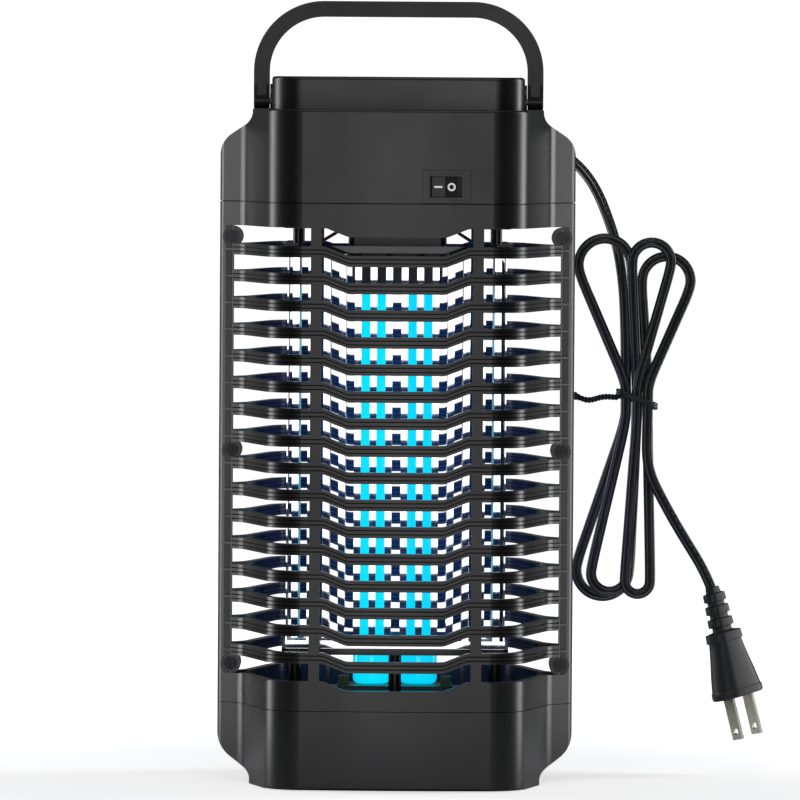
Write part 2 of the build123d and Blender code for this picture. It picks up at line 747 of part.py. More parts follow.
def hank():
    return front_profile(hank_outline, hank_y - hank_half_depth, hank_y + hank_half_depth)


def tie():
    outer = rounded_block(20.5, 19.5, 3.2, 5, (114.7, hank_y, 174.6))
    inner = rounded_block(17.6, 17.0, 3.2, 1, (114.7, hank_y, 174.6))
    return outer - inner


def place_plug(shape):
    """The plug's own axis runs down from its relief; it is turned and tilted into place."""
    return Pos(*plug_start) * Rot(0, -plug_tilt, 0) * Rot(0, 0, plug_turn) * shape


def plug_body():
    relief = loft([Pos(0, 0, 2) * Circle(2.9), Pos(0, 0, -18) * Circle(4.6)])
    grooves = []
    for i in range(5):
        grooves.append(Pos(0, 0, -2.5 - 3.4 * i) * (Cylinder(8, 1.3) - Cylinder(2.7 + 0.27 * i, 1.3)))
    shoulder = Pos(0, 0, -17) * RectangleRounded(15, 11, 3)
    waist = Pos(0, 0, -30) * RectangleRounded(19, 12.5, 3)
    face = Pos(0, 0, -49) * RectangleRounded(26.5, 16, 3)
    body = loft([shoulder, waist]) + loft([waist, face])
    return place_plug(relief - grooves + body) - plug_blades()


def plug_blades():
    made = []
    for side in (-1, 1):
        blade = Pos(side * 6.35, 0, -58) * Box(1.5, 6.35, 22)
        blade = blade - Pos(side * 6.35, 0, -65) * Rot(0, 90, 0) * Cylinder(1.6, 4)
        made.append(place_plug(blade))
    return Compound(made)


def main():
    os.makedirs("parts", exist_ok=True)
    half = guard_half()
    save(top_cover(), "top_cover")
    save(front_grille(half), "front_grille")
    save(rear_grille(half), "rear_grille")
    for piece in (handle_pins, grille_screws, collection_tray, partition_plate, chamber_floor,
                  cage_top_holder, cage_bottom_holder, cage_rods,
                  lamp_holder, lamp_base, lamp_pins, lamp_tubes, lamp_foot_board, circuit_board,
                  board_screws, transformer, capacitors, diodes, resistors, fuse, switch_bezel,
                  switch_body, switch_rocker, switch_marks, switch_terminals, carry_handle,
                  live_wire, return_wire, lamp_wires, mains_wires, cover_screws, plug_body,
                  plug_blades):
        save(piece(), piece.__name__)
    for name, shape in cage_strips().items():
        save(shape, name)
    save(gland(), "cord_gland")
    save(lead_tube(lead_route, "cord_lead"), "cord_lead")
    save(lead_tube(plug_route, "cord_plug_lead"), "cord_plug_lead")
    save(hank(), "cord_hank")
    save(tie(), "cord_tie")


main()
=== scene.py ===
import math

import bpy
from mathutils import Matrix, Vector


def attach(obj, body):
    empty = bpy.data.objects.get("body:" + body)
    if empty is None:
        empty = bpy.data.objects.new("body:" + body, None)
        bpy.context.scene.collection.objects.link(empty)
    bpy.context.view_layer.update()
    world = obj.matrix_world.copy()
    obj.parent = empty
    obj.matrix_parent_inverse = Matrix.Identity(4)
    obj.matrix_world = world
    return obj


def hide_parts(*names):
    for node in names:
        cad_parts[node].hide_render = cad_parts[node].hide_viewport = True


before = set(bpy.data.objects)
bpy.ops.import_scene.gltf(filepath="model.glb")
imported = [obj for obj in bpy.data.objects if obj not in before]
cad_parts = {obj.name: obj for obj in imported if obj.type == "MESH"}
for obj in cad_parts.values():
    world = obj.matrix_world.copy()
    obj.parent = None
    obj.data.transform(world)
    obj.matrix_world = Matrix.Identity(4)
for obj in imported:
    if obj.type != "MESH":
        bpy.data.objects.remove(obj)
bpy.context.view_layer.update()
mm = 0.001
up = Vector((0, 0, 1))
backwards = Vector((0, 1, 0))

# camera, lights and the floor

studioCamera = {
    "place": (0.0016, -4.15, 0.334),
    "target": (0.0016, 0.0, 0.179),
    "lens": 397.0,
    "roll": 0.38,  # degrees
}

studioLights = {  # place, target, width, height, brightness, colour
    "leftSide": ((-1.27, 0.30, 0.30), (0, 0, 0.17), 0.66, 1.5, 0.9, (1.0, 1.0, 1.0)),
    "rightSide": ((1.27, 0.30, 0.30), (0, 0, 0.17), 0.66, 1.5, 1.1, (1.0, 1.0, 1.0)),
    "leftStrip": ((-1.20, 0.38, 0.28), (0, 0, 0.17), 0.38, 1.5, 3.5, (1.0, 1.0, 1.0)),
    "rightStrip": ((1.20, 0.38, 0.28), (0, 0, 0.17), 0.38, 1.5, 3.5, (1.0, 1.0, 1.0)),
    "frontPanel": ((0.0, -4.6, 0.20), (0, 0, 0.16), 1.75, 2.4, 1.5, (1.0, 1.0, 1.0)),
    "backPanel": ((0.0, 2.6, 0.30), (0, 0, 0.17), 0.7, 1.8, 0.1, (1.0, 1.0, 1.0)),
    "topPanel": ((0.0, -0.6, 1.9), (0, 0, 0.17), 0.9, 0.9, 1.5, (1.0, 0.99, 0.97)),
}

lampGlow = {
    "x": 0.011, "low": 0.066, "high": 0.236,
    "out": 0.0098,  # from the middle to each panel
    "spread": 1.2,  # how far each panel turns away from the other tube
    "width": 0.016, "colour": (0.02, 0.16, 1.0), "brightness": 26.0,
}

studioWorld = {"seen": 1.05, "around": 0.045, "tint": (0.95, 0.97, 1.0, 1)}

studioFloor = {
    "radius": 1.6, "z": -0.0003, "paint": (0.80, 0.80, 0.80),
    "near": 0.62, "far": 1.0, "rise": (0.2, 0.75),  # its own light, from near the object to far off
    "bounce": 0.95, "open": (0.22, 0.5),  # what it gives back, and where reflections pass through it
}


def makeCamera(facts):
    data = bpy.data.cameras.new("studioCamera")
    data.lens = facts["lens"]
    data.sensor_width = 36.0
    data.clip_end = 60.0
    camera = bpy.data.objects.new("studioCamera", data)
    bpy.context.collection.objects.link(camera)
    place = Vector(facts["place"])
    turn = (Vector(facts["target"]) - place).to_track_quat("-Z", "Y").to_matrix().to_4x4()
    camera.matrix_world = Matrix.Translation(place) @ turn @ Matrix.Rotation(math.radians(facts["roll"]), 4, "Z")
    bpy.context.scene.camera = camera


def areaLight(name, place, target, width, height, brightness, colour):
    data = bpy.data.lights.new(name, "AREA")
    data.shape = "RECTANGLE"
    data.size = width
    data.size_y = height
    data.energy = 4 * width * height * brightness
    data.color = colour
    light = bpy.data.objects.new(name, data)
    bpy.context.collection.objects.link(light)
    turn = (Vector(target) - Vector(place)).to_track_quat("-Z", "Y").to_matrix().to_4x4()
    light.matrix_world = Matrix.Translation(Vector(place)) @ turn
    light.visible_camera = False
    return light


def makeLampGlow(facts):
    # the tubes' own blue light on the cage and the guards, one narrow panel each way from each tube
    middle = (facts["low"] + facts["high"]) / 2
    tall = facts["high"] - facts["low"]
    for side in (-1, 1):
        for facing in (-1, 1):
            place = (side * facts["x"], facing * facts["out"], middle)
            target = (side * facts["x"] * facts["spread"], facing, middle)
            light = areaLight("tubeGlow", place, target, facts["width"], tall,
                              facts["brightness"], facts["colour"])
            light.visible_glossy = False


def makeWorld(facts):
    world = bpy.data.worlds.new("paleStudio")
    bpy.context.scene.world = world
    world.use_nodes = True
    nodes, links = world.node_tree.nodes, world.node_tree.links
    nodes.clear()
    seen = nodes.new("ShaderNodeBackground")
    seen.inputs["Color"].default_value = (1, 1, 1, 1)
    seen.inputs["Strength"].default_value = facts["seen"]
    around = nodes.new("ShaderNodeBackground")
    around.inputs["Color"].default_value = facts["tint"]
    around.inputs["Strength"].default_value = facts["around"]
    path = nodes.new("ShaderNodeLightPath")
    mix = nodes.new("ShaderNodeMixShader")
    out = nodes.new("ShaderNodeOutputWorld")
    links.new(path.outputs["Is Camera Ray"], mix.inputs[0])
    links.new(around.outputs[0], mix.inputs[1])
    links.new(seen.outputs[0], mix.inputs[2])
    links.new(mix.outputs[0], out.inputs["Surface"])
    bpy.context.scene.view_settings.view_transform = "Standard"


def makeFloor(facts):
    bpy.ops.object.select_all(action="DESELECT")
    bpy.ops.mesh.primitive_circle_add(vertices=96, radius=facts["radius"], fill_type="NGON",
                                      location=(0, 0, facts["z"]))
    floor = bpy.context.object
    floor.name = "studioFloor"
    paint = bpy.data.materials.new("palePaint")
    paint.use_nodes = True
    nodes, links = paint.node_tree.nodes, paint.node_tree.links
    nodes.clear()
    lit = nodes.new("ShaderNodeBsdfDiffuse")
    lit.inputs["Color"].default_value = (*facts["paint"], 1)
    lift = nodes.new("ShaderNodeEmission")
    where = nodes.new("ShaderNodeTexCoord")
    away = nodes.new("ShaderNodeVectorMath")
    away.operation = "LENGTH"
    spread = nodes.new("ShaderNodeMapRange")
    spans = zip(("From Min", "From Max", "To Min", "To Max"), (*facts["rise"], facts["near"], facts["far"]))
    for label, value in spans:
        spread.inputs[label].default_value = value
    links.new(where.outputs["Object"], away.inputs[0])
    links.new(away.outputs["Value"], spread.inputs["Value"])
    links.new(spread.outputs[0], lift.inputs["Strength"])
    both = nodes.new("ShaderNodeAddShader")
    dim = nodes.new("ShaderNodeBsdfDiffuse")
    dim.inputs["Color"].default_value = (*[facts["bounce"]] * 3, 1)
    clear = nodes.new("ShaderNodeBsdfTransparent")
    opening = nodes.new("ShaderNodeMapRange")
    for label, value in zip(("From Min", "From Max"), facts["open"]):
        opening.inputs[label].default_value = value
    bounce = nodes.new("ShaderNodeMixShader")
    path = nodes.new("ShaderNodeLightPath")
    mix = nodes.new("ShaderNodeMixShader")
    out = nodes.new("ShaderNodeOutputMaterial")
    links.new(away.outputs["Value"], opening.inputs["Value"])
    links.new(opening.outputs[0], bounce.inputs[0])
    links.new(dim.outputs[0], bounce.inputs[1])
    links.new(clear.outputs[0], bounce.inputs[2])
    links.new(lit.outputs[0], both.inputs[0])
    links.new(lift.outputs[0], both.inputs[1])
    links.new(path.outputs["Is Camera Ray"], mix.inputs[0])
    links.new(bounce.outputs[0], mix.inputs[1])
    links.new(both.outputs[0], mix.inputs[2])
    links.new(mix.outputs[0], out.inputs["Surface"])
    floor.data.materials.append(paint)


makeCamera(studioCamera)
for lightName, lightFacts in studioLights.items():
    areaLight(lightName, *lightFacts)
makeLampGlow(lampGlow)
makeWorld(studioWorld)
makeFloor(studioFloor)
print("stage: camera, lights and floor")

# the supply cord: one route from the gland, through the tied hank, to the plug

supplyCord = {
    "width": 5.0 * mm,
    "wire": 1.35 * mm,  # radius of each of the two covered wires
    "apart": 1.15 * mm,  # from the middle to each wire
    "lobe": 11,  # points round one wire
    "exit": (0.044, 0.094, 0.304),
    "turnAmount": 0.24,  # how far the free stretches roll, radians
    "turnEvery": 0.19,
    "lead": [
        (44, 94, 304), (44, 102, 303.9), (48.1, 111.1, 303.4), (55.5, 117.8, 302.6), (65, 120.6, 300.8),
        (74.8, 119.2, 297.2), (83.6, 113.4, 291.8), (91, 104.4, 284.4), (96.6, 93.6, 275),
        (100.6, 83.2, 264.6), (103.6, 75.2, 255.4), (105.8, 68.6, 247),
    ],
    "intoHank": [(108.0, 65.4, 232), (109.0, 64.0, 214), (109.4, 63.4, 196)],
    "outOfHank": [(119.7, 57.2, 164)],
    "plugLead": [
        (119.6, 58, 150), (121.6, 57.2, 141), (126.4, 56, 131.4), (132.4, 54.6, 120.6),
        (138.8, 53, 110), (145, 51.6, 100.2), (149.6, 50.6, 91), (152, 50, 84.6),
    ],
}

hank = {
    "tie": (114.7, 60.0, 176.5),
    "column": 5.2,  # one cord's width
    "row": 3.1,
    "straight": 9.0,  # the strands run straight this far each side of the tie
    "arc": 8,  # points round each end
    # each end: centre x and z, radius, depth y, which way round, then the place in the tie where it ends
    "ends": [
        ((99.0, 96.0), 12.5, 62.8, 1, (0, 1)),
        ((99.0, 242.0), 12.5, 61.4, 1, (-1, 0)),
        ((102.2, 94.6), 8.8, 59.2, 1, (0, 0)),
        ((121.3, 243.5), 9.2, 60.2, -1, (0, -1)),
        ((115.5, 91.0), 6.0, 56.4, 1, (1, 1)),
        ((128.5, 234.5), 11.5, 64.0, -1, (1, -1)),
    ],
    "start": (-1, 1),
}


def tiePlace(facts, slot):
    x, y, z = facts["tie"]
    return x + slot[0] * facts["column"], y + slot[1] * facts["row"], z


def hankPoints(facts):
    # down and up through the tie, with a rounded end to each run
    points = []
    here = tiePlace(facts, facts["start"])
    for (cx, cz), radius, depth, way, slot in facts["ends"]:
        there = tiePlace(facts, slot)
        side = 1 if cz > facts["tie"][2] else -1
        start = (here[0], here[1], here[2] + side * facts["straight"])
        stop = (there[0], there[1], there[2] + side * facts["straight"])
        angles = []
        for sign, point in ((way, start), (-way, stop)):
            dx, dz = point[0] - cx, point[2] - cz
            angles.append(math.atan2(dz, dx) + sign * math.acos(radius / math.hypot(dx, dz)))
        first, last = angles
        while way * (last - first) < 0.5:
            last += way * 2 * math.pi
        while way * (last - first) > 2 * math.pi:
            last -= way * 2 * math.pi
        arc = [first + (last - first) * step / (facts["arc"] - 1) for step in range(facts["arc"])]
        out = radius / math.cos((last - first) / (facts["arc"] - 1) / 2)
        rounded = [(cx + out * math.cos(a), depth, cz + out * math.sin(a)) for a in arc]
        points += [here, start]
        points += [tuple(p + (q - p) * part for p, q in zip(start, rounded[0])) for part in (0.36, 0.7)]
        points += rounded
        points += [tuple(p + (q - p) * part for p, q in zip(rounded[-1], stop)) for part in (0.3, 0.64)]
        points.append(stop)
        here = there
    return points + [here]


def splinePath(points):
    # a smooth line through the route, read back as points
    curve = bpy.data.curves.new("route", "CURVE")
    curve.dimensions = "3D"
    curve.resolution_u = 10
    spline = curve.splines.new("NURBS")
    spline.points.add(len(points) - 1)
    for knot, point in zip(spline.points, points):
        knot.co = (*point, 1)
    spline.order_u = 3
    spline.use_endpoint_u = True
    spline.resolution_u = 10
    holder = bpy.data.objects.new("route", curve)
    bpy.context.collection.objects.link(holder)
    mesh = bpy.data.meshes.new_from_object(holder)
    path = [vertex.co.copy() for vertex in mesh.vertices]
    bpy.data.objects.remove(holder)
    bpy.data.meshes.remove(mesh)
    return path


def meshObject(name, vertices, faces):
    mesh = bpy.data.meshes.new(name)
    mesh.from_pydata([tuple(v) for v in vertices], [], faces)
    mesh.update()
    obj = bpy.data.objects.new(name, mesh)
    bpy.context.collection.objects.link(obj)
    return obj


def twinSection(facts):
    # two round wires side by side with a groove between them
    wire, apart, count = facts["wire"], facts["apart"], facts["lobe"]
    pinch = math.atan2(math.sqrt(wire**2 - apart**2), apart)
    swing = math.pi - pinch
    right = [-swing + 2 * swing * step / (count - 1) for step in range(count)]
    outline = [(apart + wire * math.cos(a), wire * math.sin(a)) for a in right]
    return outline + [(-u, -v) for u, v in outline[1:-1]]


def flatCordMesh(name, path, facts, tieHeight):
    section = twinSection(facts)
    count = len(section)
    vertices, faces, along = [], [], []
    thick = backwards.copy()
    travelled = 0.0
    frames = []
    for index in reversed(range(len(path))):
        before, after = path[max(index - 1, 0)], path[min(index + 1, len(path) - 1)]
        ahead = (after - before).normalized()
        pull = (1 - abs(ahead.dot(backwards))) ** 2 * 0.25
        thick = thick.lerp(backwards, pull)
        thick = (thick - ahead * thick.dot(ahead)).normalized()
        frames.append((path[index], ahead, thick.copy()))
    frames.reverse()
    for index, (point, ahead, depth) in enumerate(frames):
        if index:
            travelled += (point - frames[index - 1][0]).length
        free = min(1.0, max(0.0, (abs(point.z - tieHeight) - 0.022) / 0.03))
        roll = facts["turnAmount"] * free * math.sin(travelled / facts["turnEvery"] * 2 * math.pi)
        depth = Matrix.Rotation(roll, 3, ahead) @ depth
        across = ahead.cross(depth)
        vertices += [point + across * u + depth * v for u, v in section]
        along.append(travelled)
    rings = len(frames)
    for ring in range(rings - 1):
        for step in range(count):
            a, b = ring * count + step, ring * count + (step + 1) % count
            faces.append((a, b, b + count, a + count))
    faces.append(tuple(reversed(range(count))))
    faces.append(tuple(range((rings - 1) * count, rings * count)))
    cord = meshObject(name, vertices, faces)
    layer = cord.data.uv_layers.new(name="laidUv")
    for polygon in cord.data.polygons:
        for loop in polygon.loop_indices:
            vertex = cord.data.loops[loop].vertex_index
            ring, step = divmod(vertex, count)
            if step == 0 and polygon.index % count == count - 1:
                step = count
            layer.data[loop].uv = (along[ring] * 100, step / count)
    tidyMesh(cord)
    return cord


def tidyMesh(obj, angle=40):
    # merge doubles, turn the faces outwards and shade smooth
    bpy.ops.object.select_all(action="DESELECT")
    bpy.context.view_layer.objects.active = obj
    obj.select_set(True)
    bpy.ops.object.mode_set(mode="EDIT")
    bpy.ops.mesh.select_all(action="SELECT")
    bpy.ops.mesh.remove_doubles(threshold=0.000002)
    bpy.ops.mesh.normals_make_consistent(inside=False)
    bpy.ops.object.mode_set(mode="OBJECT")
    bpy.ops.object.shade_smooth_by_angle(angle=math.radians(angle))


routePoints = supplyCord["lead"] + supplyCord["intoHank"] + hankPoints(hank)
routePoints += supplyCord["outOfHank"] + supplyCord["plugLead"]
cordPath = splinePath([Vector(point) * mm for point in routePoints])
supply = flatCordMesh("supplyCord", cordPath, supplyCord, hank["tie"][2] * mm)
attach(supply, "housing")
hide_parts("cord_lead", "cord_hank", "cord_plug_lead")

# the wire tie round the hank, with its twisted tail

wireTie = {
    "centre": (114.7, 60.0, 176.5),
    "half": (9.2, 6.3),  # to the middle of the wire
    "squareness": 0.62,
    "lean": -3.4,  # the right end lies this much lower
    "second": 2.3,  # the second turn lies this much lower
    "wire": 0.95,
    "tailStart": (105.4, 54.4, 179.0),
    "tailEnd": (84.6, 56.4, 178.2),
    "tailWave": 1.5,
    "tailTurns": 6.5,
    "tailRadius": 0.85,
    "tailWire": 0.72,
}


def wirePiece(name, points, radius, closed=False):
    curve = bpy.data.curves.new(name, "CURVE")
    curve.dimensions = "3D"
    curve.bevel_depth = radius * mm
    curve.bevel_resolution = 3
    curve.use_fill_caps = True
    curve.resolution_u = 3
    spline = curve.splines.new("NURBS")
    spline.points.add(len(points) - 1)
    for knot, point in zip(spline.points, points):
        knot.co = (*(Vector(point) * mm), 1)
    spline.order_u = 3
    spline.use_cyclic_u = closed
    spline.use_endpoint_u = not closed
    spline.resolution_u = 3
    holder = bpy.data.objects.new(name, curve)
    bpy.context.collection.objects.link(holder)
    mesh = bpy.data.meshes.new_from_object(holder)
    bpy.data.objects.remove(holder)
    obj = bpy.data.objects.new(name, mesh)
    bpy.context.collection.objects.link(obj)
    return obj


def joined(name, parts):
    bpy.ops.object.select_all(action="DESELECT")
    for part in parts:
        part.select_set(True)
    bpy.context.view_layer.objects.active = parts[0]
    bpy.ops.object.join()
    whole = bpy.context.object
    whole.name = name
    whole.data.name = name
    return whole


def makeTie(facts):
    cx, cy, cz = facts["centre"]
    wide, deep = facts["half"]
    parts = []
    for turn in (0, 1):
        loop = []
        for step in range(28):
            angle = 2 * math.pi * step / 28
            c, s = math.cos(angle), math.sin(angle)
            x = wide * math.copysign(abs(c) ** facts["squareness"], c)
            y = deep * math.copysign(abs(s) ** facts["squareness"], s)
            drop = facts["lean"] * x / wide - turn * facts["second"] * (0.7 + 0.3 * s)
            loop.append((cx + x, cy + y, cz + 2.2 + drop))
        parts.append(wirePiece("tieLoop", loop, facts["wire"], closed=True))
    start, stop = Vector(facts["tailStart"]), Vector(facts["tailEnd"])
    ahead = (stop - start).normalized()
    sideways = ahead.cross(up).normalized()
    above = sideways.cross(ahead)
    steps = int(facts["tailTurns"] * 8)
    for half in (0, 1):
        tail = []
        for step in range(steps + 1):
            part = step / steps
            angle = 2 * math.pi * facts["tailTurns"] * part + half * math.pi
            wave = facts["tailWave"] * math.sin(part * 7.5) * part
            spread = facts["tailRadius"] * (1 + 0.9 * max(0, part - 0.86) / 0.14)
            middle = start.lerp(stop, part) + above * wave
            tail.append(middle + sideways * spread * math.cos(angle) + above * spread * math.sin(angle))
        tail.insert(0, start - ahead * 3.2 + sideways * (1 - 2 * half) * 2.0)
        parts.append(wirePiece("tieTail", tail, facts["tailWire"]))
    tie = joined("wireTie", parts)
    tidyMesh(tie, 50)
    return tie


tieWire = makeTie(wireTie)
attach(tieWire, "housing")
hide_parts("cord_tie")
print("stage: wire tie")

# the moulded plug: one rounded slab drawn up through its sections

plugMoulding = {
    "start": (152.0, 50.0, 84.6),
    "tilt": -14.0,
    "turn": 42.0,
    "corner": 0.46,  # of the face's depth
    "face": (26.2, 15.6),
    "faceZ": -49.0,
    # height, width and depth of each section above the face
    "sections": [
        (-48.4, 27.0, 16.4), (-45.6, 27.0, 16.4), (-45.0, 26.0, 15.6), (-38.0, 23.4, 14.4), (-31.0, 20.0, 13.0),
        (-25.0, 17.4, 11.9), (-22.2, 16.6, 11.4), (-21.7, 18.6, 12.6), (-17.8, 18.2, 12.2), (-17.3, 13.4, 9.6),
        (-16.9, 9.6, 7.2), (-15.0, 9.4, 7.0), (-14.6, 12.6, 9.2), (-11.0, 12.4, 9.0), (-10.6, 9.0, 6.8),
        (-8.8, 8.8, 6.6), (-8.4, 11.8, 8.7), (-4.8, 11.6, 8.5), (-4.4, 8.4, 6.4), (-2.8, 8.2, 6.2),
        (-2.4, 11.0, 8.2), (1.2, 10.8, 8.0), (1.6, 7.4, 5.6), (4.4, 6.6, 4.8),
    ],
    "bevel": 0.35,
}


def drawUp(obj, sections, height, size):
    # extrude the selected top face through each section in turn
    for z, wide, deep in sections:
        bpy.ops.mesh.extrude_region_move(TRANSFORM_OT_translate={"value": (0, 0, (z - height) * mm)})
        scale = (wide / size[0], deep / size[1], 1)
        bpy.ops.transform.resize(value=scale, center_override=(0, 0, z * mm))
        height, size = z, (wide, deep)


def makePlug(facts):
    wide, deep = facts["face"]
    bpy.ops.object.select_all(action="DESELECT")
    bpy.ops.mesh.primitive_cube_add(size=1, location=(0, 0, (facts["faceZ"] + 0.15) * mm))
    plug = bpy.context.object
    plug.scale = (wide * mm, deep * mm, 0.3 * mm)
    bpy.ops.object.transform_apply(location=True, rotation=False, scale=True)
    bpy.ops.object.mode_set(mode="EDIT")
    bpy.ops.mesh.select_all(action="DESELECT")
    bpy.ops.mesh.select_mode(type="EDGE")
    bpy.ops.object.mode_set(mode="OBJECT")
    for edge in plug.data.edges:
        a, b = (plug.data.vertices[i].co for i in edge.vertices)
        edge.select = abs(a.z - b.z) > 0.0001
    bpy.ops.object.mode_set(mode="EDIT")
    bpy.ops.mesh.bevel(offset=facts["corner"] * deep * mm, segments=6, affect="EDGES")
    bpy.ops.mesh.select_all(action="DESELECT")
    bpy.ops.mesh.select_mode(type="FACE")
    bpy.ops.object.mode_set(mode="OBJECT")
    for face in plug.data.polygons:
        face.select = face.normal.z > 0.9
    bpy.ops.object.mode_set(mode="EDIT")
    drawUp(plug, facts["sections"], facts["faceZ"] + 0.3, facts["face"])
    bpy.ops.object.mode_set(mode="OBJECT")
    plug.name = "plugMoulding"
    plug.data.name = "plugMoulding"
    edges = plug.modifiers.new("softEdges", "BEVEL")
    edges.width = facts["bevel"] * mm
    edges.segments = 3
    edges.limit_method = "ANGLE"
    edges.angle_limit = math.radians(28)
    bpy.ops.object.modifier_apply(modifier=edges.name)
    place = Matrix.Translation(Vector(facts["start"]) * mm)
    turn = (Matrix.Rotation(math.radians(facts["tilt"]), 4, "Y")
            @ Matrix.Rotation(math.radians(facts["turn"]), 4, "Z"))
    plug.matrix_world = place @ turn
    bpy.ops.object.transform_apply(location=True, rotation=True, scale=True)
    tidyMesh(plug, 34)
    return plug


plug = makePlug(plugMoulding)
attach(plug, "housing")
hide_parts("plug_body")
print("stage: plug")

# shared shader groups

guardGrooves = {  # mm: the first rib's middle and the spacing, then where the grooves lie and how far they run
    "First": 249.8, "Pitch": 12.553, "Offset": 0.95, "Half": 0.3, "Dip": 4.3, "Dip Inner": 22.6,
    "Dip Outer": 33.6, "Middle": 155.65, "Reach": 96.5, "Wide": 77.0, "Seam": 272.35,
}
sleeveStart = 247.4  # mm: the electrode rails are covered above this height


def nodeGroup(name, inputs, outputs):
    tree = bpy.data.node_groups.new(name, "ShaderNodeTree")
    for label, value in inputs.items():
        colour = isinstance(value, tuple)
        kind = "NodeSocketColor" if colour else "NodeSocketFloat"
        socket = tree.interface.new_socket(name=label, in_out="INPUT", socket_type=kind)
        socket.default_value = (*value, 1) if colour else value
    for label, kind in outputs.items():
        tree.interface.new_socket(name=label, in_out="OUTPUT", socket_type=kind)
    return tree, tree.nodes.new("NodeGroupInput"), tree.nodes.new("NodeGroupOutput")


def addNode(tree, kind, values=None, **settings):
    node = tree.nodes.new(kind)
    for key, value in settings.items():
        setattr(node, key, value)
    for key, value in (values or {}).items():
        if isinstance(value, bpy.types.NodeSocket):
            tree.links.new(value, node.inputs[key])
        else:
            node.inputs[key].default_value = value
    return node


def moulding():
    # the grain and the slow flow marks of an injection moulding
    tree, enter, leave = nodeGroup(
        "mouldedSkin",
        {"Colour": (0.02, 0.02, 0.02), "Pale Colour": (0.03, 0.03, 0.03),
         "Grain Scale": 900.0, "Flow Scale": 14.0, "Rough Low": 0.3, "Rough High": 0.42},
        {"Colour": "NodeSocketColor", "Roughness": "NodeSocketFloat", "Grain": "NodeSocketFloat"},
    )
    where = addNode(tree, "ShaderNodeTexCoord").outputs["Object"]
    grain = addNode(tree, "ShaderNodeTexNoise", {"Vector": where, "Scale": enter.outputs["Grain Scale"],
                                                "Detail": 2.0, "Roughness": 0.6})
    flow = addNode(tree, "ShaderNodeTexNoise", {"Vector": where, "Scale": enter.outputs["Flow Scale"],
                                               "Detail": 4.0, "Roughness": 0.55, "Distortion": 0.6})
    spread = addNode(tree, "ShaderNodeMapRange", {"Value": flow.outputs["Fac"],
                                                 "From Min": 0.3, "From Max": 0.7,
                                                 "To Min": enter.outputs["Rough Low"],
                                                 "To Max": enter.outputs["Rough High"]})
    speck = addNode(tree, "ShaderNodeMath", {0: grain.outputs["Fac"], 1: 0.06}, operation="MULTIPLY")
    rough = addNode(tree, "ShaderNodeMath", {0: spread.outputs["Result"], 1: speck.outputs[0]}, operation="ADD")
    tint = addNode(tree, "ShaderNodeMix", data_type="RGBA")
    mixColours(tree, tint, flow.outputs["Fac"], enter.outputs["Colour"], enter.outputs["Pale Colour"])
    tree.links.new(tint.outputs[2], leave.inputs["Colour"])
    tree.links.new(rough.outputs[0], leave.inputs["Roughness"])
    tree.links.new(grain.outputs["Fac"], leave.inputs["Grain"])
    return tree


def mixColours(tree, mix, factor, first, second):
    # the colour sockets of a Mix node are its seventh and eighth
    for place, value in ((0, factor), (6, first), (7, second)):
        for link in list(mix.inputs[place].links):
            tree.links.remove(link)
        if isinstance(value, bpy.types.NodeSocket):
            tree.links.new(value, mix.inputs[place])
        else:
            mix.inputs[place].default_value = value


def dusting():
    # fine dust that settles on what faces up
    tree, enter, leave = nodeGroup("settledDust", {"Amount": 0.2, "Scale": 60.0}, {"Dust": "NodeSocketFloat"})
    where = addNode(tree, "ShaderNodeTexCoord").outputs["Object"]
    normal = addNode(tree, "ShaderNodeNewGeometry").outputs["Normal"]
    facing = addNode(tree, "ShaderNodeSeparateXYZ", {0: normal})
    level = addNode(tree, "ShaderNodeMapRange", {"Value": facing.outputs["Z"],
                                                "From Min": 0.5, "From Max": 1.0})
    patch = addNode(tree, "ShaderNodeTexNoise", {"Vector": where, "Scale": enter.outputs["Scale"],
                                                "Detail": 5.0})
    both = addNode(tree, "ShaderNodeMath", {0: level.outputs[0], 1: patch.outputs["Fac"]},
                   operation="MULTIPLY")
    dust = addNode(tree, "ShaderNodeMath", {0: both.outputs[0], 1: enter.outputs["Amount"]},
                   operation="MULTIPLY")
    tree.links.new(dust.outputs[0], leave.inputs["Dust"])
    return tree


def drawing():
    # the long fine lines of drawn or rolled metal
    tree, enter, leave = nodeGroup(
        "drawnLines",
        {"Lines": 220.0, "Rough Low": 0.1, "Rough High": 0.2,
         "Colour": (0.7, 0.7, 0.7), "Dull Colour": (0.5, 0.5, 0.5)},
        {"Colour": "NodeSocketColor", "Roughness": "NodeSocketFloat", "Lines": "NodeSocketFloat"},
    )
    where = addNode(tree, "ShaderNodeTexCoord").outputs["Object"]
    stretched = addNode(tree, "ShaderNodeMapping", {"Vector": where, "Scale": (8.0, 8.0, 0.25)})
    lines = addNode(tree, "ShaderNodeTexNoise", {"Vector": stretched.outputs[0], "Scale": enter.outputs["Lines"],
                                                "Detail": 3.0})
    stain = addNode(tree, "ShaderNodeTexNoise", {"Vector": where, "Scale": 45.0, "Detail": 4.0})
    mixed = addNode(tree, "ShaderNodeMath", {0: lines.outputs["Fac"], 1: stain.outputs["Fac"]},
                    operation="MULTIPLY")
    rough = addNode(tree, "ShaderNodeMapRange", {"Value": mixed.outputs[0], "From Min": 0.15, "From Max": 0.4,
                                                "To Min": enter.outputs["Rough Low"],
                                                "To Max": enter.outputs["Rough High"]})
    tint = addNode(tree, "ShaderNodeMix", data_type="RGBA")
    mixColours(tree, tint, stain.outputs["Fac"], enter.outputs["Colour"], enter.outputs["Dull Colour"])
    tree.links.new(tint.outputs[2], leave.inputs["Colour"])
    tree.links.new(rough.outputs[0], leave.inputs["Roughness"])
    tree.links.new(lines.outputs["Fac"], leave.inputs["Lines"])
    return tree


